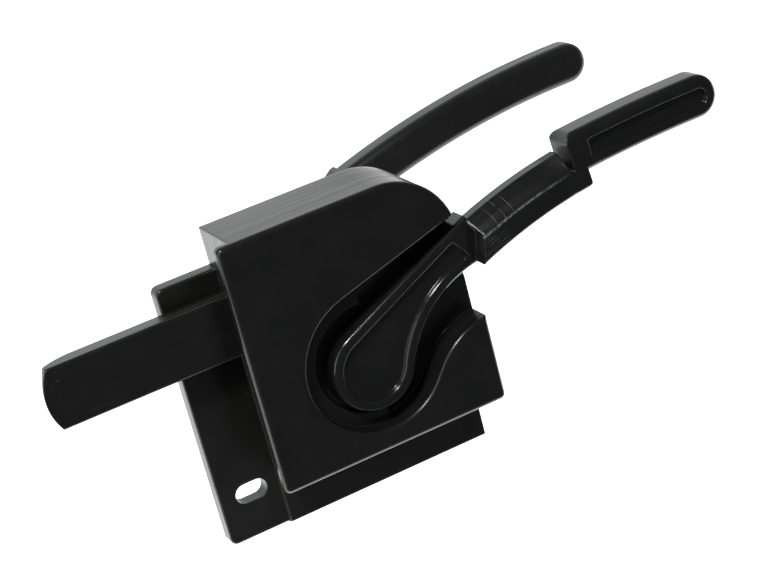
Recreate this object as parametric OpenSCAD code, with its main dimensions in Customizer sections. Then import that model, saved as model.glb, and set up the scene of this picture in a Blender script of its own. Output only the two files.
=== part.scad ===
// Surface lever latch for a door: a spring bolt in a moulded housing, drawn back
// by a front lever and, through the door, by a rear lever on the same spindle.
// Frame: origin on the spindle axis at the mounting face, +X away from the bolt,
// +Y into the door, +Z up. Millimetres.

/* [Cover] */
// Spindle axis to the cover's left edge
cover_left = 50.2; // [49:0.2:56]
// Spindle axis to the cover's right edge
cover_right = 50.8; // [50:0.2:53]
// Spindle axis to the cover's top
cover_top = 71.4; // [70:0.2:80]
// Spindle axis to the cover's bottom edge
cover_bottom = 34; // [33:0.5:38]
// Mounting face to the cover's front face
cover_front = 33.5; // [33:0.5:36]
// Thickness of the cover's walls
wall = 2.5; // [2:0.1:2.8]
// Radius of the cover's top right shoulder
shoulder_r = 30; // [26:0.5:32]
// Spindle axis to the shoulder's centre, along X
shoulder_x = 18.1; // [17:0.1:19]
// Rounding of the cover's front edges
edge_r = 2; // [1:0.1:2.4]
// How far the cover's front lip overhangs the left wall
lip = 6.1; // [5:0.1:8]
// Thickness of that lip
lip_t = 4; // [3:0.1:5]

/* [Lever pocket] */
// Radius of the round end of the pocket
pocket_r = 29.6; // [28.5:0.1:31]
// Pocket centre above the spindle axis
pocket_rise = 4.4; // [3:0.1:5]
// Mounting face to the pocket's floor
pocket_floor = 20.75; // [20.6:0.05:21.2]
// Slope of the pocket's upper wall in degrees
pocket_slope = 15.5; // [14:0.5:17]
// Height of the lower shelf above the spindle axis
shelf_top = 3.1; // [2:0.1:3.4]
// Radius of the shelf's rounded end
shelf_r = 32; // [30:0.5:36]

/* [Base plate] */
// Spindle axis to the plate's left edge
plate_left = 70.2; // [68:0.2:80]
// Spindle axis to the plate's right edge
plate_right = 48.2; // [47.8:0.1:48.2]
// Spindle axis to the plate's top edge
plate_top = 55.7; // [55.5:0.1:58]
// Spindle axis to the plate's bottom edge
plate_bottom = 57.8; // [54:0.2:70]
// Thickness of the plate's flange
plate_t = 7; // [5:0.1:7.4]
// Height of the raised pad above the flange
pad_t = 1.5; // [1:0.1:1.6]
// Length of the fixing slot
slot_l = 14; // [11:0.5:18]
// Width of the fixing slot
slot_w = 8.5; // [6:0.1:9]

/* [Bolt] */
// Height of the bolt
bolt_h = 25.5; // [24:0.1:26]
// Thickness of the bolt
bolt_t = 8; // [7:0.1:8.2]
// Spindle axis to the bolt's middle
bolt_rise = 34.4; // [33.8:0.1:35]
// Spindle axis to the bolt's tip
bolt_reach = 125.6; // [110:0.2:140]
// Length of the bevel on the bolt's back
bevel_l = 17; // [10:0.5:22]
// Spindle axis to the bolt's tail
tail_x = 15; // [14.6:0.2:15.6]

/* [Levers] */
// Radius of the front lever's hub
hub_r = 18.2; // [17:0.1:19]
// Thickness of the front lever's hub
hub_t = 9.65; // [9:0.05:10.2]
// Slope of the front lever's upper edge in degrees
neck_slope = 25.5; // [25:0.5:27]
// Width of the front lever's raised rim
rim_w = 5; // [4:0.1:5.6]
// Depth of the sunk panel inside the rim
panel_d = 2; // [1:0.1:2.4]
// Height of the grip
grip_h = 18.2; // [16:0.2:19]
// Thickness of the grip
grip_t = 14.5; // [12:0.1:14.6]
// Spindle axis to the centre of the grip's round end
grip_reach = 163.5; // [150:0.5:180]
// Thickness of the rear lever
rear_t = 14.5; // [12:0.1:16]
// How far each lever turns, in degrees
lever_swing = 22; // [18:1:22]

/* [Door] */
// Thickness of the door between the plate and the rear rose
door_t = 45; // [35:1:55]
// Thickness of the rear rose
rose_t = 10; // [8:0.5:12]

/* [Hidden] */

$fn = 64;
// Clearances: faces that slide, faces that face a moving piece, and round running fits
slide_gap = 0.3;
seat_gap = 0.1;
run_gap = 0.05;
eps = 0.01;
// Centre of an edge's rounding, in radii from the faces: over 1 leaves a faint crease
edge_ease = 1.2;

// Levels in front of the mounting face
pad_h = plate_t + pad_t;
floor_back = pocket_floor - wall;
bolt_back = pad_h + 1;
bolt_front = bolt_back + bolt_t;
bolt_mid = (bolt_back + bolt_front) / 2;
hub_back = pocket_floor + 0.35;
hub_front = hub_back + hub_t;
grip_front = hub_front + 7.75;
grip_back = grip_front - grip_t;

// Cover outline
body_left = cover_left - lip;
shoulder_z = cover_top - shoulder_r;
corner_r = edge_r + 0.5;

// Pocket: a round end, an upper wall tangent to it, and a lower shelf joined to it by a straight
pocket_x = 0.3;
shelf_a = -38;
shelf_z = shelf_top - shelf_r;
shelf_join = (shelf_z - pocket_rise - (shelf_r + pocket_r) * sin(shelf_a)) / cos(shelf_a);
shelf_x = pocket_x + (shelf_r + pocket_r) * cos(shelf_a) - shelf_join * sin(shelf_a);
shelf_n = [cos(shelf_a), sin(shelf_a)];
pocket_edge_r = 1.5;
// Raised collar in the pocket, round the left of the hub
collar_c = [pocket_x, pocket_rise - 1];
collar_r = hub_r + 4;
collar_h = pocket_floor + 4.85;
collar_end = 2.5;
collar_edge_r = 0.9;
// Rounded corner between the shoulder and the pocket's upper wall
nose_r = 2.5;

// Bolt rise, its two long edges and the drive geometry
bolt_low = bolt_rise - bolt_h / 2;
bolt_high = bolt_rise + bolt_h / 2;
arm_r = bolt_rise;
arm_tip_r = 4.5;
arm_neck_w = 3.6;
arm_hub_r = 9.5;
bolt_travel = 2 * arm_r * sin(lever_swing / 2);
spring_r = 3.2;
wire_r = 0.5;
spring_turns = 6;
rod_r = 2;
rod_x = tail_x - 2;
seat_x = tail_x + bolt_travel + 9;
seat_l = 6;

// Spindle
square_w = 8;
journal_r = 6;
bush_wall = 3;
boss_r = 9;
arm_washer_t = 1;
boss_end = floor_back - 0.5;
arm_back = pad_h + 2 * seat_gap;
arm_front = boss_end - arm_washer_t - 2 * seat_gap;
spindle_front = hub_front - panel_d - 3;

// Front lever: neck arc tangent to the hub, block and grip swept about centres below them
neck_cx = 61.3;
neck_cz = -21.6;
neck_arc_r = norm([neck_cx, neck_cz]) - hub_r;
neck_end = 52.6;
panel_end = 45.6;
panel_end_a = 35;
rim_edge_r = 1.8;
panel_edge_r = 1.4;
block_cx = 130.8;
grip_rise = 56.85;
ridge_top = grip_rise - 7.05;
ridge_r = 220;
block_cz = ridge_top - ridge_r;
block_low_r = ridge_r - 9.4;
block_high_r = ridge_r + 7.5;
ledge_d = 8;
block_a0 = 90 + asin((block_cx - 99.6) / ridge_r);
block_a1 = 90 + asin((block_cx - 46.6) / ridge_r);
block_foot_a = 90 + asin((block_cx - 106.7) / ridge_r);
block_foot_r = 2.5;
// The block's left end in the front view: foot, ridge and top of the ledge
block_end = [[53.1, 25.4], [55.6, 37.4], [52.4, 43.3]];
block_lap = [1.5, 0];
grip_arc_r = 650;
grip_edge_r = 3;
grip_corner_r = 4;
grip_a_root = 90 + asin((grip_reach - 100.4) / grip_arc_r);
groove_a = 90 + asin((grip_reach - 109.6) / grip_arc_r);
groove_w = 7;
groove_d = 2.2;
groove_edge_r = 0.8;

// Rear lever and rose
rose_front = -door_t;
rose_back = rose_front - rose_t;
rear_front = rose_back - 3.5;
rear_back = rear_front - rear_t;
rose_r = 25;
rose_pitch = 18;
rear_boss_r = 8;
rear_hub_r = 15;
rear_arc_r = 390;
rear_rise = 57.9;
rear_half = 9;
rear_reach = 160.5;
rear_root_x = 44;
rear_a_root = 90 + asin((rear_reach - rear_root_x) / rear_arc_r);
rear_root_z = rear_rise - rear_arc_r + rear_arc_r * sin(rear_a_root);
rear_edge_r = 4;

// Fasteners
screw_r = 2;
head_r = 3;
head_t = 2.4;
thread_r = 1.7;
post_r = 3.5;
top_post_z = plate_top - head_r - 0.9;
low_post_z = -cover_bottom + wall + post_r - 1;
posts = [[-12, top_post_z], [21, top_post_z], [-body_left + wall + post_r - 1, low_post_z],
    [plate_right - head_r - 0.9, low_post_z]];
rail_l = 21;
rail_w = 6;
rail_x = -body_left + wall + 1;
rail_screw_x = rail_x + rail_l / 2;
rose_screw_r = 2.5;

plate_corner_r = 3;
plate_edge_r = 1;
pad_edge_r = 0.6;
slot_x = -plate_left + 14;
slot_z = -plate_bottom + 19.4;

// Front view drawing: x and z in the plane, h in front of the mounting face
module front() {
    rotate([90, 0, 0]) children();
}

module slab(h0, h1) {
    translate([0, 0, h0]) linear_extrude(h1 - h0) children();
}

module disc(r, h0, h1, at = [0, 0]) {
    slab(h0, h1) translate(at) circle(r);
}

// Section of what a rounded edge takes off: u inwards from the edge, v down from the face.
// The arc leaves each face at a small angle, so the two surfaces cross cleanly
module edge_section(r) {
    c = edge_ease * r;
    difference() {
        translate([-1, -c]) square([c + 1, c + 1]);
        translate([c, -c]) circle(norm([c, c - r]));
    }
}

// Rounds a straight edge from p to q, with the solid on its left; back is a face looking at the door
module edge_line(p, q, r, h, back = false) {
    d = q - p;
    translate([p.x, p.y, h]) rotate([0, 0, atan2(d.y, d.x)]) rotate([90, 0, 90])
        linear_extrude(norm(d)) mirror([0, back ? 1 : 0]) edge_section(r);
}

// Rounds an arc's edge, with the solid inside the arc or outside it
module edge_arc(c, arc_r, r, h, a0, a1, inside = true, back = false) {
    translate([c.x, c.y, h]) rotate([0, 0, a0]) rotate_extrude(angle = a1 - a0)
        translate([arc_r, 0]) mirror([inside ? 1 : 0, 0]) mirror([0, back ? 1 : 0]) edge_section(r);
}

// Part of a ring in the front view, between two angles under 90 degrees apart
module arc_band(c, r, half, a0, a1) {
    intersection() {
        translate(c) difference() {
            circle(r + half, $fn = 256);
            circle(r - half, $fn = 256);
        }
        polygon([c, c + 2 * r * [cos(a0), sin(a0)], c + 2 * r * [cos(a1), sin(a1)]]);
    }
}

// Swept bar: a section drawn as (radius, h) turned about a centre in the front view
module arc_bar(c, a0, a1) {
    translate([c.x, c.y, 0]) rotate([0, 0, a0]) rotate_extrude(angle = a1 - a0) children();
}

module cover_shape(left, inset) {
    r = shoulder_r - inset;
    side = cover_right - inset;
    translate([shoulder_x, shoulder_z]) circle(r);
    polygon([[-left + inset, -cover_bottom + inset], [side, -cover_bottom + inset],
        [side, shelf_top + 14], [shoulder_x + r, shoulder_z], [shoulder_x, shoulder_z + r],
        [-left + inset, shoulder_z + r]]);
}

// Takes a square corner off to a round one; turn is the corner's quarter
module corner_cut(at, r, turn) {
    translate(at) rotate(turn) difference() {
        translate([-1, -1]) square(r + 1);
        translate([r, r]) circle(r);
    }
}

// Takes a corner off to a round one about c, between the directions of its two faces
module round_off(c, r, a0, a1) {
    mid = (a0 + a1) / 2;
    translate(c) difference() {
        polygon([[0, 0], 2 * r * [cos(a0), sin(a0)], 3 * r * [cos(mid), sin(mid)], 2 * r * [cos(a1), sin(a1)]]);
        circle(1.02 * r);
    }
}

// The lever's pocket in the front view, grown outwards by the given wall
module pocket_shape(grow) {
    r = pocket_r + grow;
    c = [pocket_x, pocket_rise];
    wall_a = c + r * [-sin(pocket_slope), cos(pocket_slope)];
    reach = cover_right + 20;
    low = shelf_top - grow;
    translate(c) circle(r);
    difference() {
        polygon([c, wall_a, wall_a + reach * [cos(pocket_slope), sin(pocket_slope)], [reach, low],
            [shelf_x, low], [shelf_x, shelf_z] - (shelf_r - grow) * shelf_n, c + r * shelf_n]);
        translate([shelf_x, shelf_z]) circle(shelf_r - grow);
    }
}

// The plate from the given left edge; inside the cover it follows the cover's walls
module plate_shape(left) {
    intersection() {
        translate([-left, -plate_bottom]) square([left + plate_right, plate_bottom + plate_top]);
        union() {
            cover_shape(plate_left + 2 * wall, wall + seat_gap);
            translate([-plate_left - 1, -plate_bottom - 1]) square([2 * plate_left, plate_bottom + 1]);
        }
    }
}

module base_plate() {
    r = plate_corner_r;
    bl = [-plate_left, -plate_bottom];
    tl = [-plate_left, plate_top];
    pad_bl = [-body_left, -plate_bottom];
    pad_br = [plate_right, -plate_bottom];
    color("#1b1b1c") front() difference() {
        union() {
            difference() {
                slab(0, plate_t) difference() {
                    plate_shape(plate_left);
                    corner_cut(bl, r, 0);
                    corner_cut(tl, r, 270);
                }
                edge_line(tl - [0, r], bl + [0, r], plate_edge_r, plate_t);
                edge_line(bl + [r, 0], pad_bl - [0.4, 0], plate_edge_r, plate_t);
                edge_line([-body_left - 0.4, plate_top], tl + [r, 0], plate_edge_r, plate_t);
                edge_arc(bl + [r, r], r, plate_edge_r, plate_t, 180, 270);
                edge_arc(tl + [r, -r], r, plate_edge_r, plate_t, 90, 180);
            }
            difference() {
                slab(plate_t - eps, pad_h) plate_shape(body_left);
                edge_line(pad_bl - [1, 0], pad_br + [1, 0], pad_edge_r, pad_h);
                edge_line(pad_br - [0, 1], [plate_right, -cover_bottom - 1], pad_edge_r, pad_h);
                edge_line([-body_left, -cover_bottom - 1], pad_bl - [0, 1], pad_edge_r, pad_h);
            }
        }
        slab(-1, plate_t + 1) translate([slot_x, slot_z]) {
            translate([-(slot_l - slot_w) / 2, -slot_w / 2]) square([slot_l - slot_w, slot_w]);
            for (s = [-1, 1])
                translate([s * (slot_l - slot_w) / 2, 0]) circle(slot_w / 2);
        }
        disc(journal_r + bush_wall, -1, pad_h + 1);
        for (p = posts) {
            disc(screw_r + seat_gap, -1, pad_h + 1, p);
            disc(head_r + seat_gap, -1, head_t + 0.4, p);
        }
        for (s = [-1, 1]) {
            disc(rose_screw_r + seat_gap, -1, pad_h + 1, [s * rose_pitch, 0]);
            disc(thread_r + seat_gap, 2, pad_h + 1, [rail_screw_x, bolt_rise + s * rail_mid()]);
            disc(screw_r + seat_gap, -1, pad_h + 1, [seat_x + seat_l / 2, bolt_rise + s * seat_pitch()]);
            disc(head_r + seat_gap, -1, head_t + 0.4, [seat_x + seat_l / 2, bolt_rise + s * seat_pitch()]);
        }
    }
}

function rail_mid() = bolt_h / 2 + slide_gap + rail_w / 2;
function seat_pitch() = 9;

module front_cover() {
    bl = [-cover_left, -cover_bottom];
    br = [cover_right, -cover_bottom];
    tl = [-cover_left, cover_top];
    lift = [shoulder_x, cover_top];
    shoulder = [shoulder_x, shoulder_z];
    pocket_c = [pocket_x, pocket_rise];
    shelf_c = [shelf_x, shelf_z];
    lap = 0.6 * [-shelf_n.y, shelf_n.x];
    wall_n = [-sin(pocket_slope), cos(pocket_slope)];
    wall_a = pocket_c + pocket_r * wall_n;
    wall_d = [cos(pocket_slope), sin(pocket_slope)];
    nose_q = wall_a + nose_r * wall_n - shoulder;
    nose_s = sqrt(pow(nose_q * wall_d, 2) - nose_q * nose_q + pow(shoulder_r - nose_r, 2)) - nose_q * wall_d;
    nose_v = nose_q + nose_s * wall_d;
    color("#161617") front() difference() {
        union() {
            // walls down to the pad, and to the door above the plate
            difference() {
                slab(pad_h, cover_front) cover_shape(body_left, 0);
                difference() {
                    slab(pad_h - 1, cover_front - wall) cover_shape(body_left, wall);
                    slab(floor_back, cover_front) pocket_shape(wall);
                    for (p = posts)
                        disc(post_r, pad_h - 1, cover_front, p);
                    disc(boss_r + bush_wall + wall, floor_back - 1, cover_front);
                }
            }
            slab(0, pad_h + eps) difference() {
                cover_shape(body_left, 0);
                cover_shape(body_left, wall);
                translate([-2 * cover_left, -2 * cover_bottom])
                    square([2 * cover_left, 2 * cover_bottom + plate_top + seat_gap]);
                translate([-2 * cover_left, -2 * cover_bottom])
                    square([2 * cover_left + plate_right + seat_gap, cover_bottom + wall + 1]);
            }
            // front lip past the left wall
            slab(cover_front - lip_t, cover_front) translate([-cover_left, -cover_bottom])
                square([lip + wall, cover_top + cover_bottom]);
        }
        difference() {
            slab(pocket_floor, cover_front + 1) pocket_shape(0);
            slab(pocket_floor - 1, collar_h) difference() {
                translate([collar_end - 2 * pocket_r, pocket_rise - 2 * pocket_r]) square([2, 4] * pocket_r);
                translate(collar_c) circle(collar_r);
            }
        }
        edge_arc(collar_c, collar_r, collar_edge_r, collar_h, 80, 280, false);
        slab(pocket_floor, cover_front + 1)
            round_off(shoulder + nose_v, nose_r, pocket_slope - 90, atan2(nose_v.y, nose_v.x));
        // the bolt's way out through the left wall
        translate([0, 0, pad_h - 1]) linear_extrude(bolt_front + slide_gap - pad_h + 1)
            translate([-cover_left, bolt_low - slide_gap]) square([lip + wall + 1, bolt_h + 2 * slide_gap]);
        disc(boss_r + bush_wall, floor_back - 2, pocket_floor + 1);
        for (p = posts)
            disc(thread_r, -1, cover_front - wall - 4, p);
        slab(cover_front - lip_t - 1, cover_front + 1) {
            corner_cut(bl, corner_r, 0);
            corner_cut(tl, corner_r, 270);
        }
        slab(-1, cover_front + 1) corner_cut(br, corner_r, 90);
        // rounded front edges
        edge_line(bl + [corner_r, 0], br - [corner_r, 0], edge_r, cover_front);
        edge_line(br + [0, corner_r], [cover_right, shelf_top + 1], edge_r, cover_front);
        edge_arc(br + [-corner_r, corner_r], corner_r, edge_r, cover_front, 270, 360);
        edge_line(lift, tl + [corner_r, 0], edge_r, cover_front);
        edge_line(tl - [0, corner_r], bl + [0, corner_r], edge_r, cover_front);
        edge_arc(bl + [corner_r, corner_r], corner_r, edge_r, cover_front, 180, 270);
        edge_arc(tl + [corner_r, -corner_r], corner_r, edge_r, cover_front, 90, 180);
        edge_arc(shoulder, shoulder_r, edge_r, cover_front, 0, 90);
        // rounded edge round the pocket
        edge_arc(pocket_c, pocket_r, pocket_edge_r, cover_front, 90 + pocket_slope, 360 + shelf_a, false);
        edge_line(wall_a + 60 * wall_d, wall_a, pocket_edge_r, cover_front);
        edge_line(shelf_c - shelf_r * shelf_n + lap, pocket_c + pocket_r * shelf_n - lap, pocket_edge_r, cover_front);
        edge_arc(shelf_c, shelf_r, pocket_edge_r, cover_front, 85, 180 + shelf_a);
    }
}

module cover_screws() {
    color("#8d9094") front() for (p = posts)
        difference() {
            union() {
                disc(head_r, 0.4, head_t + 0.4, p);
                disc(screw_r, head_t, pad_h - seat_gap, p);
                disc(thread_r - seat_gap, pad_h - 2 * seat_gap, cover_front - wall - 6, p);
            }
            disc(1.3, 0, 1.8, p);
        }
}

module bolt_rails() {
    color("#222223") front() for (s = [-1, 1])
        difference() {
            slab(pad_h, bolt_front) translate([rail_x, bolt_rise + s * rail_mid() - rail_w / 2])
                square([rail_l, rail_w]);
            disc(screw_r + seat_gap, pad_h - 1, bolt_front + 1, [rail_screw_x, bolt_rise + s * rail_mid()]);
            disc(2.9, bolt_front - head_t, bolt_front + 1, [rail_screw_x, bolt_rise + s * rail_mid()]);
        }
}

module rail_screws() {
    color("#8d9094") front() for (s = [-1, 1]) {
        at = [rail_screw_x, bolt_rise + s * rail_mid()];
        difference() {
            union() {
                disc(2.8, bolt_front - head_t, bolt_front - seat_gap, at);
                disc(thread_r, 2.5, bolt_front - head_t + eps, at);
            }
            disc(1.1, bolt_front - 1.4, bolt_front, at);
        }
    }
}

module front_bush() {
    color("#c9c4b4") front() difference() {
        disc(boss_r + bush_wall - seat_gap / 2, floor_back - 1, pocket_floor);
        disc(boss_r + run_gap, 0, cover_front);
    }
}

module rear_bush() {
    color("#c9c4b4") front() difference() {
        disc(journal_r + bush_wall - seat_gap / 2, 0.4, pad_h);
        disc(journal_r + run_gap, -1, pad_h + 1);
    }
}

module bolt() {
    tip_arc_r = 24;
    color("#171718") difference() {
        intersection() {
            // seen from above: a flat bar whose back runs out to the tip in a curved bevel
            translate([0, 0, bolt_low]) linear_extrude(bolt_h) difference() {
                translate([-bolt_reach - 1, -bolt_front]) square([bolt_reach + tail_x + 1, bolt_t]);
                translate([-bolt_reach - 1, -bolt_back]) bevel_cut();
            }
            front() slab(bolt_back - 1, bolt_front + 1) {
                translate([-bolt_reach + tip_arc_r, bolt_rise]) circle(tip_arc_r);
                translate([-bolt_reach + tip_arc_r - 18, bolt_low]) square([bolt_reach + tail_x, bolt_h]);
            }
        }
        // notch for the arm, open at the lower edge and wider there for the arm's swing
        front() slab(0, cover_front) {
            translate([arm_rest_x(), arm_r]) circle(arm_tip_r + slide_gap);
            polygon([[arm_rest_x() - arm_tip_r - slide_gap, arm_r],
                [arm_rest_x() + arm_tip_r + slide_gap, arm_r],
                [arm_rest_x() + arm_tip_r + 1.5, bolt_low - 1], [arm_rest_x() - arm_tip_r - 1.5, bolt_low - 1]]);
        }
        translate([rod_x - bolt_travel - 1, -bolt_mid, bolt_rise]) rotate([0, 90, 0])
            cylinder(r = rod_r + slide_gap, h = bolt_travel + 2 * tail_x);
        front() {
            for (z = [bolt_low, bolt_high])
                edge_bolt(z);
        }
    }
}

function arm_rest_x() = -arm_r * sin(lever_swing / 2);
function bevel_r() = (pow(bevel_l, 2) + pow(bolt_t - 1, 2)) / (2 * (bolt_t - 1));

// What the bevel takes off the bolt's back, an arc that starts flush with the back
module bevel_cut() {
    difference() {
        translate([0, -bolt_t]) square([bevel_l + 1, bolt_t + 1]);
        translate([bevel_l + 1, -bevel_r()]) circle(bevel_r(), $fn = 128);
    }
}

// Rounds the bolt's long front edges
module edge_bolt(z) {
    far = [-bolt_reach - 2, z];
    near = [tail_x + 2, z];
    if (z < bolt_rise)
        edge_line(far, near, 1, bolt_front);
    else
        edge_line(near, far, 1, bolt_front);
}

module bolt_spring() {
    turns = spring_turns;
    length = seat_x - tail_x - 2 * seat_gap;
    pitch = (length - 2 * wire_r) / turns;
    sides = 8;
    steps = 14;
    rings = turns * steps;
    points = [for (i = [0:rings], k = [0:sides - 1]) let(a = 360 * i / steps, b = 360 * k / sides,
        r = spring_r + wire_r * cos(b))
        [tail_x + seat_gap + wire_r + pitch * i / steps + wire_r * sin(b),
            -bolt_mid + r * cos(a), bolt_rise + r * sin(a)]];
    sidewalls = [for (i = [0:rings - 1], k = [0:sides - 1]) let(n = (k + 1) % sides)
        [i * sides + k, (i + 1) * sides + k, (i + 1) * sides + n, i * sides + n]];
    ends = [[for (k = [0:sides - 1]) k], [for (k = [sides - 1:-1:0]) rings * sides + k]];
    color("#a9abae") polyhedron(points, concat(sidewalls, ends));
}

module spring_seat() {
    color("#222223") difference() {
        front() slab(pad_h, bolt_front) translate([seat_x, bolt_rise - 12.5]) square([seat_l, 25]);
        translate([seat_x - 1, -bolt_mid, bolt_rise]) rotate([0, 90, 0]) cylinder(r = rod_r + run_gap, h = seat_l);
        front() for (s = [-1, 1])
            disc(thread_r, pad_h - 1, pad_h + 6, [seat_x + seat_l / 2, bolt_rise + s * seat_pitch()]);
    }
}

module spring_rod() {
    color("#8d9094") translate([rod_x, -bolt_mid, bolt_rise]) rotate([0, 90, 0])
        cylinder(r = rod_r, h = seat_x + seat_l - 1 - seat_gap - rod_x);
}

module seat_screws() {
    color("#8d9094") front() for (s = [-1, 1]) {
        at = [seat_x + seat_l / 2, bolt_rise + s * seat_pitch()];
        difference() {
            union() {
                disc(head_r, 0.4, head_t + 0.4, at);
                disc(screw_r, head_t, pad_h - seat_gap, at);
                disc(thread_r - seat_gap, pad_h - 2 * seat_gap, pad_h + 5, at);
            }
            disc(1.3, 0, 1.8, at);
        }
    }
}

// The pear shape of the front lever's hub and neck, drawn smaller by the given inset; its upper
// edge stops at end_x and its end runs down through the given steps
module neck_shape(inset, end_x, steps) {
    r = hub_r - inset;
    up = [-sin(neck_slope), cos(neck_slope)];
    along = [cos(neck_slope), sin(neck_slope)];
    t1 = r * up;
    t2 = r * [neck_cx, neck_cz] / norm([neck_cx, neck_cz]);
    reach = (end_x - t1.x) / along.x;
    circle(r);
    difference() {
        polygon(concat([[0, 0], t1, t1 + reach * along], steps, [[neck_cx, neck_cz], t2]));
        translate([neck_cx, neck_cz]) circle(neck_arc_r + inset, $fn = 128);
    }
}

module front_lever() {
    neck_c = [neck_cx, neck_cz];
    block_c = [block_cx, block_cz];
    grip_c = [grip_reach, grip_rise - grip_arc_r];
    up = [-sin(neck_slope), cos(neck_slope)];
    along = [cos(neck_slope), sin(neck_slope)];
    tip = [grip_reach, grip_rise];
    tangent_a = atan2(neck_cz, neck_cx);
    panel_r = hub_r - rim_w;
    panel_l = (panel_end - panel_r * up.x) / along.x;
    panel_foot = panel_r * up + panel_l * along + 60 * [sin(panel_end_a), -cos(panel_end_a)];
    foot_out = [cos(block_foot_a), sin(block_foot_a)];
    foot_on = [-foot_out.y, foot_out.x];
    foot_c = block_c + (block_low_r + block_foot_r) * foot_out + block_foot_r * foot_on;
    color("#121213") front() difference() {
        union() {
            // hub and neck with a raised rim round a sunk panel
            difference() {
                slab(hub_back, hub_front)
                    neck_shape(0, neck_end, [block_end[1] + block_lap, block_end[0] + block_lap]);
                slab(hub_front - panel_d, hub_front + 1) neck_shape(rim_w, panel_end, [panel_foot]);
                edge_arc([0, 0], panel_r, panel_edge_r, hub_front, 90 + neck_slope, 362 + tangent_a, false);
                edge_line(panel_r * up, panel_r * up + (panel_l - 0.5) * along, panel_edge_r, hub_front);
                edge_arc(neck_c, neck_arc_r + rim_w, panel_edge_r, hub_front, 104, 180.5 + tangent_a);
                edge_arc([0, 0], hub_r, rim_edge_r, hub_front, 90 + neck_slope, 360 + tangent_a);
                edge_line(hub_r * up + 2 * neck_end * along, hub_r * up, rim_edge_r, hub_front);
                edge_arc(neck_c, neck_arc_r, rim_edge_r, hub_front, 90, 180 + tangent_a, false);
            }
            disc(boss_r, boss_end, hub_back + eps);
            // block with a slanted thumb ledge above its ridge
            difference() {
                arc_bar(block_c, block_a0, block_a1) polygon([[block_low_r, grip_back],
                    [block_high_r - 1.5, grip_back], [block_high_r, grip_back + 1.5],
                    [block_high_r, grip_front - ledge_d], [ridge_r, grip_front],
                    [block_low_r + 1, grip_front], [block_low_r, grip_front - 1]]);
                slab(0, 2 * grip_front) polygon([2 * block_end[0] - block_end[1], block_end[1],
                    2 * block_end[2] - block_end[1], [0, cover_top], [0, 0]]);
            }
            difference() {
                arc_bar(block_c, block_foot_a, block_a0 + 0.2) polygon([[block_low_r, grip_back],
                    [ridge_r, grip_back], [ridge_r, grip_front], [block_low_r + 1, grip_front],
                    [block_low_r, grip_front - 1]]);
                slab(0, 2 * grip_front)
                    round_off(foot_c, block_foot_r, block_foot_a - 180, block_foot_a - 90);
            }
            // grip: a rounded bar on a gentle arc with a round end
            difference() {
                slab(grip_back, grip_front) difference() {
                    union() {
                        arc_band(grip_c, grip_arc_r, grip_h / 2, 90, grip_a_root);
                        translate(tip) circle(grip_h / 2);
                    }
                    corner_cut(grip_c + (grip_arc_r + grip_h / 2) * [cos(grip_a_root), sin(grip_a_root)],
                        grip_corner_r, 180 + grip_a_root);
                }
                for (back = [false, true]) {
                    h = back ? grip_back : grip_front;
                    past = grip_a_root + 1;
                    edge_arc(grip_c, grip_arc_r + grip_h / 2, grip_edge_r, h, 90, past, true, back);
                    edge_arc(grip_c, grip_arc_r - grip_h / 2, grip_edge_r, h, 90, past, false, back);
                    edge_arc(tip, grip_h / 2, grip_edge_r, h, -90, 90, true, back);
                }
            }
        }
        // square socket for the spindle
        slab(0, spindle_front + seat_gap) square(square_w + 2 * seat_gap, center = true);
        // long groove in the grip's face
        slab(grip_front - groove_d, grip_front + 1) {
            arc_band(grip_c, grip_arc_r, groove_w / 2, 90, groove_a);
            translate(tip) circle(groove_w / 2);
        }
        edge_arc(grip_c, grip_arc_r + groove_w / 2, groove_edge_r, grip_front, 90, groove_a - 0.05, false);
        edge_arc(grip_c, grip_arc_r - groove_w / 2, groove_edge_r, grip_front, 90, groove_a - 0.05);
        edge_arc(tip, groove_w / 2, groove_edge_r, grip_front, -90, 90, false);
    }
}

module spindle() {
    color("#9b9da0") front() difference() {
        union() {
            slab(rear_back + 3, spindle_front) square(square_w, center = true);
            disc(journal_r, -1, pad_h + seat_gap);
        }
        disc(2.1, rear_back + 2, rear_back + 15);
    }
}

module actuating_arm() {
    lean = lever_swing / 2;
    color("#6d6f72") front() difference() {
        slab(arm_back, arm_front) {
            circle(arm_hub_r);
            rotate(lean) {
                translate([-arm_neck_w / 2, 0]) square([arm_neck_w, arm_r]);
                translate([0, arm_r]) circle(arm_tip_r);
            }
        }
        slab(0, cover_front) square(square_w + 2 * seat_gap, center = true);
    }
}

module arm_washer() {
    color("#b4b6b8") front() difference() {
        disc(arm_hub_r - 1, boss_end - seat_gap - arm_washer_t, boss_end - seat_gap);
        disc(square_w * sqrt(2) / 2 + seat_gap, 0, cover_front);
    }
}

module rear_lever() {
    c = [rear_reach, rear_rise - rear_arc_r];
    tip = [rear_reach, rear_rise];
    stop = rear_a_root - 0.4;
    color("#141415") front() difference() {
        union() {
            slab(rear_back, rear_front) rear_shape(c, tip);
            disc(rear_boss_r, rear_front - eps, rose_front - 3);
        }
        slab(rear_back - 1, rose_front) square(square_w + 2 * seat_gap, center = true);
        disc(8.2, rear_back - 1, rear_back + 1.5);
        for (back = [false, true]) {
            h = back ? rear_back : rear_front;
            edge_arc(c, rear_arc_r + rear_half, rear_edge_r, h, 90, stop, true, back);
            edge_arc(c, rear_arc_r - rear_half, rear_edge_r, h, 90, stop, false, back);
            edge_arc(tip, rear_half, rear_edge_r, h, -90, 90, true, back);
        }
    }
}

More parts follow.
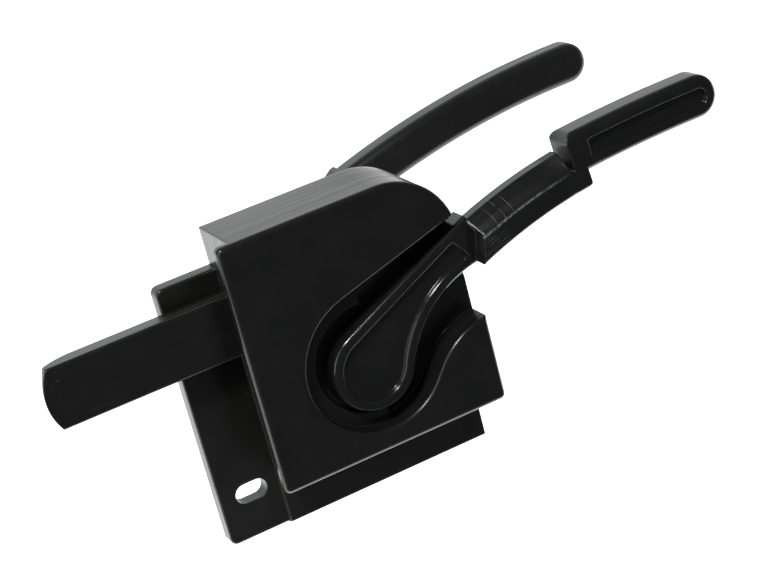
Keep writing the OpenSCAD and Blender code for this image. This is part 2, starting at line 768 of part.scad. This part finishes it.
// The rear lever in the front view: round hub, straight neck, arched bar and round tip
module rear_shape(c, tip) {
    a = rear_a_root;
    out = [cos(a), sin(a)];
    on = [sin(a), -cos(a)];
    root = [rear_root_x, rear_root_z];
    turn = atan2(root.y, root.x);
    side = [-sin(turn), cos(turn)];
    circle(rear_hub_r);
    polygon([root + (rear_half - 0.3) * out, (rear_hub_r - 0.3) * side, (0.3 - rear_hub_r) * side,
        root - (rear_half - 0.3) * out,
        root - (rear_half - 1) * out + 3 * on, root + (rear_half - 1) * out + 3 * on]);
    translate(tip) circle(rear_half);
    arc_band(c, rear_arc_r, rear_half, 90, rear_a_root);
}

module end_washer() {
    color("#b4b6b8") front() difference() {
        disc(8, rear_back + 0.2, rear_back + 1.4);
        disc(2.3, rear_back - 2, rear_back + 4);
    }
}

module end_screw() {
    color("#8d9094") front() difference() {
        union() {
            disc(4.5, rear_back - 2.6, rear_back + 0.1);
            disc(2, rear_back, rear_back + 13);
        }
        disc(1.4, rear_back - 3, rear_back - 1);
    }
}

module rear_rose() {
    color("#161617") front() difference() {
        union() {
            disc(rose_r, rose_front - 4, rose_front);
            disc(rear_boss_r + bush_wall + 3, rose_back, rose_front);
        }
        disc(rear_boss_r + bush_wall, rose_back - 1, rose_front + 1);
        for (s = [-1, 1]) {
            disc(rose_screw_r + seat_gap, rose_back, rose_front + 1, [s * rose_pitch, 0]);
        }
    }
}

module rose_bush() {
    color("#c9c4b4") front() difference() {
        disc(rear_boss_r + bush_wall - seat_gap / 2, rose_back, rose_front);
        disc(rear_boss_r + run_gap, rose_back - 1, rose_front + 1);
    }
}

module rose_screws() {
    color("#8d9094") front() for (s = [-1, 1]) {
        at = [s * rose_pitch, 0];
        difference() {
            union() {
                disc(3.4, rose_front - 6.4, rose_front - 4, at);
                disc(rose_screw_r, rose_front - 4 - eps, pad_h - 1, at);
            }
            disc(1.4, rose_front - 7, rose_front - 5, at);
        }
    }
}

base_plate();
front_cover();
cover_screws();
bolt_rails();
rail_screws();
front_bush();
rear_bush();
bolt();
bolt_spring();
spring_seat();
spring_rod();
seat_screws();
front_lever();
spindle();
actuating_arm();
arm_washer();
rear_lever();
end_washer();
end_screw();
rear_rose();
rose_bush();
rose_screws();
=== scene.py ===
import bpy
from mathutils import Matrix, Vector


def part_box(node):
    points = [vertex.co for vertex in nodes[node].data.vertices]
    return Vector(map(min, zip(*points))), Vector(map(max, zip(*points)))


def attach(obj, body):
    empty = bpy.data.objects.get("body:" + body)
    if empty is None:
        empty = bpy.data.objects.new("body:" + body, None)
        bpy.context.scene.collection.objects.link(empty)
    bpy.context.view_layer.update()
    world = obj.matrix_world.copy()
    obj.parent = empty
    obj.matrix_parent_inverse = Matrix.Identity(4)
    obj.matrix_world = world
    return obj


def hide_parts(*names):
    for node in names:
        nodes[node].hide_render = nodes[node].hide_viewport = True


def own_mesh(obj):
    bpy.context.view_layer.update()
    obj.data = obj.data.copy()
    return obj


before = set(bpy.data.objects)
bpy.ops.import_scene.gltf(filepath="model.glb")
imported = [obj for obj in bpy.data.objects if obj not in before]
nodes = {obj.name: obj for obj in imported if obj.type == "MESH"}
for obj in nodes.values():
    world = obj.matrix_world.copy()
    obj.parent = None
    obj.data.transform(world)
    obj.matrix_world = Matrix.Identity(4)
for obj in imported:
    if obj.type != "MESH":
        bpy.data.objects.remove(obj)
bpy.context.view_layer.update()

# Base plate: a thick injection moulding in black ABS, screwed flat to the door.
# Moulded ABS shows a cloudy black, draw marks along its walls, a fine spark-eroded grain,
# slightly eased edges and specks of dust. The plate is the dullest of the mouldings.
CLOUD_MM = 14
DRAW_MARK_MM = (70, 3.5, 70)
DUST_SPACING_MM = 9
EASED_EDGE_MM = 1.2
PLASTIC_IOR = 1.5


def linear(hex_colour):
    """An sRGB hex colour as the linear colour that a shader takes."""
    channels = [int(hex_colour[i:i + 2], 16) / 255 for i in (1, 3, 5)]
    return [c / 12.92 if c <= 0.04045 else ((c + 0.055) / 1.055) ** 2.4 for c in channels] + [1.0]


def add(tree, kind, settings=None, links=None, **values):
    """Adds a node with its settings, its links by socket, and its plain socket values."""
    node = tree.nodes.new(kind)
    for name, value in (settings or {}).items():
        setattr(node, name, value)
    for name, value in values.items():
        node.inputs[name.replace("_", " ")].default_value = value
    for name, socket in (links or {}).items():
        tree.links.new(socket, node.inputs[name])
    return node


def per_metre(mm):
    """A pattern's scale from the real size of one of its marks."""
    return 1000.0 / mm


def ramp(tree, socket, low, high, to_low, to_high):
    """A value read from low to high and given out from to_low to to_high."""
    node = add(tree, "ShaderNodeMapRange", links={"Value": socket})
    ends = {"From Min": low, "From Max": high, "To Min": to_low, "To Max": to_high}
    for name, value in ends.items():
        node.inputs[name].default_value = value
    return node.outputs["Result"]


def streaks(tree, place, size_mm, slope=0.0, detail=3.0):
    """Noise drawn out along a direction in the front view, from the size of one streak."""
    lie = add(tree, "ShaderNodeMapping", {"vector_type": "TEXTURE"}, {"Vector": place},
              Rotation=(0, -slope, 0), Scale=[mm / 1000 for mm in size_mm])
    return add(tree, "ShaderNodeTexNoise", links={"Vector": lie.outputs["Vector"]},
               Scale=1.0, Detail=detail).outputs["Fac"]


def new_material(name):
    """An empty material: its tree, its shader and the place on the piece that patterns read."""
    material = bpy.data.materials.new(name)
    material.use_nodes = True
    tree = material.node_tree
    tree.nodes.clear()
    shader = add(tree, "ShaderNodeBsdfPrincipled")
    add(tree, "ShaderNodeOutputMaterial", links={"Surface": shader.outputs["BSDF"]})
    place = add(tree, "ShaderNodeTexCoord").outputs["Object"]
    return material, tree, shader, place


def overlay(tree, shader, mask, colour, rough):
    """Lays another tone and gloss over what the shader has, where the mask is."""
    layers = (("Base Color", "RGBA", linear(colour)), ("Roughness", "FLOAT", rough))
    for name, kind, value in layers:
        under = shader.inputs[name].links[0].from_socket
        mix = add(tree, "ShaderNodeMix", {"data_type": kind}, {"Factor": mask, "A": under}, B=value)
        tree.links.new(mix.outputs["Result"], shader.inputs[name])


def moulded_plastic(name, dark, pale, rough, grain_mm, grain_depth_mm):
    """Moulded plastic. A real grain is about 0.15 mm, so it is drawn coarser here to show."""
    material, tree, shader, place = new_material(name)
    cloud = add(tree, "ShaderNodeTexNoise", links={"Vector": place},
                Scale=per_metre(CLOUD_MM), Detail=8.0, Roughness=0.65)
    tone = add(tree, "ShaderNodeMix", {"data_type": "RGBA"}, {"Factor": cloud.outputs["Fac"]},
               A=linear(dark), B=linear(pale))
    tree.links.new(tone.outputs["Result"], shader.inputs["Base Color"])
    drawn = streaks(tree, place, DRAW_MARK_MM)
    polish = ramp(tree, drawn, 0.35, 0.65, rough - 0.07, rough + 0.10)
    tree.links.new(polish, shader.inputs["Roughness"])
    grain = add(tree, "ShaderNodeTexNoise", links={"Vector": place},
                Scale=per_metre(grain_mm), Detail=2.0)
    eased = add(tree, "ShaderNodeBevel", {"samples": 8}, Radius=EASED_EDGE_MM / 1000)
    bump = add(tree, "ShaderNodeBump",
               links={"Height": grain.outputs["Fac"], "Normal": eased.outputs["Normal"]},
               Strength=0.3, Distance=grain_depth_mm / 1000)
    tree.links.new(bump.outputs["Normal"], shader.inputs["Normal"])
    dust = add(tree, "ShaderNodeTexVoronoi", links={"Vector": place},
               Scale=per_metre(DUST_SPACING_MM))
    specks = ramp(tree, dust.outputs["Distance"], 0.012, 0.024, 0.5, 0.0)
    overlay(tree, shader, specks, "#6f716d", 0.7)
    shader.inputs["IOR"].default_value = PLASTIC_IOR
    return material, tree, shader, place


def dress(material, *names):
    """Gives a finish to CAD nodes, whose meshes stay as they are."""
    for name in names:
        mesh = nodes[name].data
        mesh.materials.clear()
        mesh.materials.append(material)


plate_abs, *_ = moulded_plastic("black_abs_dull_moulded", "#0e0f0f", "#222320", rough=0.32,
                                grain_mm=0.7, grain_depth_mm=0.015)
dress(plate_abs, "base_plate")

# Front cover: one deep moulding in the same black ABS, with a satin grain and a rounded
# front rim. It is held by four screws from behind the plate.
cover_abs, *_ = moulded_plastic("black_abs_satin_moulded", "#0b0c0c", "#212220", rough=0.25,
                                grain_mm=0.6, grain_depth_mm=0.009)
dress(cover_abs, "front_cover")

# Screws: zinc-plated steel, rolled threads and pressed heads, slightly mottled by the
# blue passivation. They hold the cover, the rails, the spring seat and the rear rose.
MOTTLE_MM = 3


def bright_steel(name, colour, rough, mark_mm):
    """Steel with a mottled tone and a polish streaked by tool marks of the given size."""
    material, tree, shader, place = new_material(name)
    mottle = add(tree, "ShaderNodeTexNoise", links={"Vector": place},
                 Scale=per_metre(MOTTLE_MM), Detail=5.0)
    tone = add(tree, "ShaderNodeMix", {"data_type": "RGBA"}, {"Factor": mottle.outputs["Fac"]},
               A=linear(colour), B=linear("#8f9296"))
    tree.links.new(tone.outputs["Result"], shader.inputs["Base Color"])
    marks = streaks(tree, place, mark_mm)
    polish = ramp(tree, marks, 0.3, 0.7, rough - 0.08, rough + 0.12)
    tree.links.new(polish, shader.inputs["Roughness"])
    shader.inputs["Metallic"].default_value = 1.0
    return material


zinc = bright_steel("zinc_plated_steel", "#b9bcc0", rough=0.34, mark_mm=(3, 3, 0.4))
dress(zinc, "cover_screws", "rail_screws", "seat_screws", "rose_screws", "end_screw")

# Bolt rails and spring seat: small black nylon mouldings screwed to the plate inside the
# housing. The rails guide the bolt and the seat takes the spring's push.
rail_nylon, *_ = moulded_plastic("black_nylon_plain_moulded", "#191a1a", "#202120", rough=0.40,
                                 grain_mm=1.0, grain_depth_mm=0.02)
dress(rail_nylon, "bolt_rails", "spring_seat")

# Bushes: plain rings of natural acetal, turned and pressed into the cover, plate and rose.
# The spindle and the lever's bosses run in them.
acetal, *_ = moulded_plastic("natural_acetal_turned", "#d3cdbd", "#e2ddd0", rough=0.42,
                             grain_mm=0.6, grain_depth_mm=0.01)
dress(acetal, "front_bush", "rear_bush", "rose_bush")

# Bolt: a solid nylon bar, rubbed by its rails, with a bevelled tip. A mould line runs along
# its top edge and the tip is nicked by the strike.
BOLT_TIP = (-0.119, -0.0175, 0.043)
BOLT_MID_Y = -0.0135
BOLT_TOP_Z = 0.0468


def maths(tree, operation, first, second=0.0):
    """A sum on two values, each a number or a socket."""
    node = add(tree, "ShaderNodeMath", {"operation": operation})
    for slot, item in enumerate((first, second)):
        if isinstance(item, float):
            node.inputs[slot].default_value = item
        else:
            tree.links.new(item, node.inputs[slot])
    return node.outputs["Value"]


def product(tree, first, *others):
    """Masks multiplied together."""
    for other in others:
        first = maths(tree, "MULTIPLY", first, other)
    return first


def near(tree, place, point, inner_mm, outer_mm):
    """One within the inner distance of a point, fading to nothing at the outer one."""
    gap = add(tree, "ShaderNodeVectorMath", {"operation": "DISTANCE"}, {0: place})
    gap.inputs[1].default_value = point
    return ramp(tree, gap.outputs["Value"], inner_mm / 1000, outer_mm / 1000, 1.0, 0.0)


bolt_nylon, tree, shader, place = moulded_plastic(
    "black_nylon_rubbed_moulded", "#0c0d0d", "#222321", rough=0.26,
    grain_mm=0.7, grain_depth_mm=0.014)
axes = add(tree, "ShaderNodeSeparateXYZ", links={"Vector": place})
off_line = maths(tree, "ABSOLUTE", maths(tree, "SUBTRACT", axes.outputs["Y"], BOLT_MID_Y))
on_top = ramp(tree, axes.outputs["Z"], BOLT_TOP_Z, BOLT_TOP_Z + 0.0002, 0.0, 1.0)
mould_line = product(tree, ramp(tree, off_line, 0.0001, 0.0003, 0.5, 0.0), on_top)
overlay(tree, shader, mould_line, "#5c5e5b", 0.6)
nicks = streaks(tree, place, (1.2, 1.2, 0.7), slope=0.6)
struck = product(tree, ramp(tree, nicks, 0.62, 0.70, 0.0, 0.28),
                 near(tree, place, BOLT_TIP, inner_mm=3, outer_mm=8))
overlay(tree, shader, struck, "#777a76", 0.6)
rubs = streaks(tree, place, (30, 0.8, 0.5))
overlay(tree, shader, ramp(tree, rubs, 0.66, 0.74, 0.0, 0.25), "#4a4c4a", 0.45)
dress(bolt_nylon, "bolt")

# Spindle, arm, rod and washers: bright cold-drawn steel with marks along the bar.
# The square spindle carries both levers and the arm that draws the bolt.
drawn_steel = bright_steel("cold_drawn_steel", "#a9acaf", rough=0.30, mark_mm=(0.5, 30, 0.5))
dress(drawn_steel, "spindle", "actuating_arm", "arm_washer", "end_washer", "spring_rod")

# Return spring: six turns of hard-drawn wire coiled on the rod, darker than the plated parts.
# It presses the bolt out, and closes up against its seat as the bolt is drawn back.
SPRING_TURNS = 6
STEPS_PER_TURN = 32
WIRE_R = 0.0005
WIRE_SIDES = 12
spring_low, spring_high = [Vector(corner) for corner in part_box("bolt_spring")]
spring_mid = (spring_low + spring_high) / 2
spring_l = spring_high.x - spring_low.x
coil_r = (spring_high.y - spring_low.y) / 2 - WIRE_R
bpy.ops.object.select_all(action="DESELECT")
bpy.ops.mesh.primitive_circle_add(vertices=WIRE_SIDES, radius=WIRE_R, location=(0, 0, 0))
spring = bpy.context.object
spring.name = "return_spring"
bpy.ops.object.mode_set(mode="EDIT")
bpy.ops.mesh.select_all(action="SELECT")
bpy.ops.transform.translate(value=(0, coil_r, 0))
bpy.ops.object.mode_set(mode="OBJECT")
coil = spring.modifiers.new("coil", "SCREW")
coil.axis = "X"
coil.iterations = SPRING_TURNS
coil.screw_offset = (spring_l - 2 * WIRE_R) / SPRING_TURNS
coil.steps = coil.render_steps = STEPS_PER_TURN
bpy.ops.object.modifier_apply(modifier=coil.name)
bpy.ops.object.mode_set(mode="EDIT")
bpy.ops.mesh.select_all(action="SELECT")
bpy.ops.mesh.fill_holes(sides=0)
bpy.ops.mesh.select_all(action="SELECT")
bpy.ops.mesh.normals_make_consistent(inside=False)
bpy.ops.transform.translate(value=(spring_low.x + WIRE_R, spring_mid.y, spring_mid.z))
bpy.ops.object.mode_set(mode="OBJECT")
bpy.ops.object.shade_smooth_by_angle(angle=0.6)
drawn_wire = bright_steel("drawn_spring_wire", "#8c8e92", rough=0.28, mark_mm=(0.4, 0.4, 4))
spring.data.materials.append(drawn_wire)
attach(spring, "housing")
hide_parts("bolt_spring")
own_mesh(spring)

# Front lever: a glossy black nylon moulding on the spindle's square. Hands have scuffed its
# ridge and the block's lower left and left curved scratches on the thumb ledge. In the corner
# under the grip a duller patch is darkened by painted shade, for the shade on the grip's end.
SCUFF_SLOPE = 0.42
SCUFF_AT = (0.0605, -0.0385, 0.0325)
RIDGE_CENTRE = (0.1308, 0.0, -0.1702)
RIDGE_R = 0.220
RIDGE_WORN_X = (0.085, 0.099)
BLOCK_FRONT_Y = (-0.0372, -0.0360)
SCRATCH_CENTRE = (0.045, -0.034, 0.036)
SCRATCH_AT = (0.0660, -0.0345, 0.0425)
SCRATCH_SPACING_MM = 4.3
GRIP_CORNER = (0.0990, -0.0280, 0.0545)
lever_nylon, tree, shader, place = moulded_plastic(
    "black_nylon_gloss_moulded", "#0d0e0d", "#222322", rough=0.16,
    grain_mm=0.6, grain_depth_mm=0.006)
axes = add(tree, "ShaderNodeSeparateXYZ", links={"Vector": place})
scuffs = streaks(tree, place, (5, 0.35, 0.35), SCUFF_SLOPE)
patch = product(tree, ramp(tree, scuffs, 0.48, 0.66, 0.0, 0.40),
                near(tree, place, SCUFF_AT, inner_mm=3, outer_mm=9))
overlay(tree, shader, patch, "#6d6f6c", 0.5)
flat = add(tree, "ShaderNodeVectorMath", {"operation": "MULTIPLY"}, {0: place})
flat.inputs[1].default_value = (1, 0, 1)
out = add(tree, "ShaderNodeVectorMath", {"operation": "DISTANCE"}, {0: flat.outputs["Vector"]})
out.inputs[1].default_value = RIDGE_CENTRE
off_ridge = maths(tree, "ABSOLUTE", maths(tree, "SUBTRACT", out.outputs["Value"], RIDGE_R))
rubbed = streaks(tree, place, (1.4, 0.5, 0.5), SCUFF_SLOPE)
ridge = product(tree, ramp(tree, off_ridge, 0.0001, 0.0006, 1.0, 0.0),
                ramp(tree, axes.outputs["Y"], *BLOCK_FRONT_Y, 1.0, 0.0),
                ramp(tree, axes.outputs["X"], *RIDGE_WORN_X, 1.0, 0.0),
                ramp(tree, rubbed, 0.38, 0.60, 0.10, 0.8))
overlay(tree, shader, ridge, "#8a8d89", 0.5)
reach = add(tree, "ShaderNodeVectorMath", {"operation": "DISTANCE"}, {0: place})
reach.inputs[1].default_value = SCRATCH_CENTRE
turns = maths(tree, "MULTIPLY", reach.outputs["Value"], 6.2832 * per_metre(SCRATCH_SPACING_MM))
rings = maths(tree, "SINE", turns)
breaks = add(tree, "ShaderNodeTexNoise", links={"Vector": place}, Scale=per_metre(4), Detail=2.0)
scratches = product(tree, ramp(tree, rings, 0.972, 0.995, 0.0, 0.45),
                    near(tree, place, SCRATCH_AT, inner_mm=5, outer_mm=8),
                    ramp(tree, breaks.outputs["Fac"], 0.34, 0.52, 0.0, 1.0),
                    ramp(tree, out.outputs["Value"], RIDGE_R, RIDGE_R + 0.0006, 0.0, 1.0))
overlay(tree, shader, scratches, "#8f928e", 0.5)
# Painted shade near the grip's corner: a darker, duller patch that stands in for the shade on the
# grip's end wall.
grip_end_shade_noise = add(tree, "ShaderNodeTexNoise", links={"Vector": place}, Scale=per_metre(2.5), Detail=3.0)
grip_end_painted_shade = product(tree, ramp(tree, grip_end_shade_noise.outputs["Fac"], 0.30, 0.60, 0.7, 1.0),
                near(tree, place, GRIP_CORNER, inner_mm=6, outer_mm=11))
overlay(tree, shader, grip_end_painted_shade, "#121312", 0.5)
dress(lever_nylon, "front_lever")

# Rear lever: the same nylon, a plain arched bar on the spindle's far end, held by a
# screw and washer. It is handled less and is a little duller.
rear_nylon, *_ = moulded_plastic("black_nylon_satin_moulded", "#101110", "#252624", rough=0.29,
                                 grain_mm=0.7, grain_depth_mm=0.014)
dress(rear_nylon, "rear_lever")

# Rear rose: a round black ABS moulding against the door's far side, drawn up by two
# through screws.
dress(cover_abs, "rear_rose")

# Studio: a lit white table well below the part, a bright sweep behind it and a dim room in
# front, so that flat fronts stay dark. A small soft box draws the lines along the edges.
FLOOR_Z = -0.45
FLOOR_SIZE = 14
FLOOR_SHIFT_Y = 6.8
ROOM_FRONT = 0.115
ROOM_BACK = 1.25
bpy.ops.object.select_all(action="DESELECT")
bpy.ops.mesh.primitive_plane_add(size=FLOOR_SIZE, location=(0, 0, 0))
floor = bpy.context.object
floor.name = "studio_floor"
for vertex in floor.data.vertices:
    vertex.co += Vector((0, FLOOR_SHIFT_Y, FLOOR_Z))
paint, tree, shader, place = new_material("white_acrylic_light_table")
shader.inputs["Base Color"].default_value = linear("#f6f6f6")
shader.inputs["Roughness"].default_value = 0.9
shader.inputs["Emission Color"].default_value = linear("#ffffff")
shader.inputs["Emission Strength"].default_value = 1.6
floor.data.materials.append(paint)

world = bpy.data.worlds.new("studio_room")
bpy.context.scene.world = world
world.use_nodes = True
tree = world.node_tree
tree.nodes.clear()
way = add(tree, "ShaderNodeTexCoord").outputs["Generated"]
axes = add(tree, "ShaderNodeSeparateXYZ", links={"Vector": way})
sweep = ramp(tree, axes.outputs["Y"], 0.10, 0.95, ROOM_FRONT, ROOM_BACK)
room = add(tree, "ShaderNodeBackground", links={"Strength": sweep}, Color=linear("#f9fffd"))
paper = add(tree, "ShaderNodeBackground", Color=(1, 1, 1, 1), Strength=1.0)
seen = add(tree, "ShaderNodeLightPath").outputs["Is Camera Ray"]
both = add(tree, "ShaderNodeMixShader", links={"Fac": seen})
tree.links.new(room.outputs["Background"], both.inputs[1])
tree.links.new(paper.outputs["Background"], both.inputs[2])
add(tree, "ShaderNodeOutputWorld", links={"Surface": both.outputs["Shader"]})


def soft_box(name, place, size, power):
    """A rectangular lamp that faces the part."""
    lamp = bpy.data.lights.new(name, "AREA")
    lamp.shape = "RECTANGLE"
    lamp.size, lamp.size_y = size
    lamp.energy = power
    holder = bpy.data.objects.new(name, lamp)
    bpy.context.scene.collection.objects.link(holder)
    holder.location = place
    holder.rotation_euler = (-Vector(place)).to_track_quat("-Z", "Y").to_euler()


soft_box("key", (-0.62, -0.78, 1.35), size=(0.28, 0.28), power=18)
soft_box("left_strip", (-1.3, -0.5, 0.5), size=(0.25, 1.2), power=5)

# Camera: the photograph's own view, from the upper left with the frame tilted. Its place and
# lens were fitted to the straight edges of the cover, plate and bolt.
LENS_PX = 2140
FRAME_W = 760
SENSOR_MM = 36.0
EYE = Vector((-0.271024, -0.757222, 0.329204))
ACROSS = Vector((0.86779, -0.43484, -0.24056))
UPWARD = Vector((0.36455, 0.22804, 0.90283))
camera_data = bpy.data.cameras.new("photo_view")
camera_data.sensor_width = SENSOR_MM
camera_data.lens = SENSOR_MM * LENS_PX / FRAME_W
camera_data.clip_start = 0.01
camera = bpy.data.objects.new("photo_view", camera_data)
bpy.context.scene.collection.objects.link(camera)
back = ACROSS.cross(UPWARD).normalized()
turn = Matrix((ACROSS, UPWARD, back)).transposed()
camera.matrix_world = Matrix.Translation(EYE) @ turn.to_4x4()
bpy.context.scene.camera = camera
bpy.context.scene.view_settings.view_transform = "Standard"
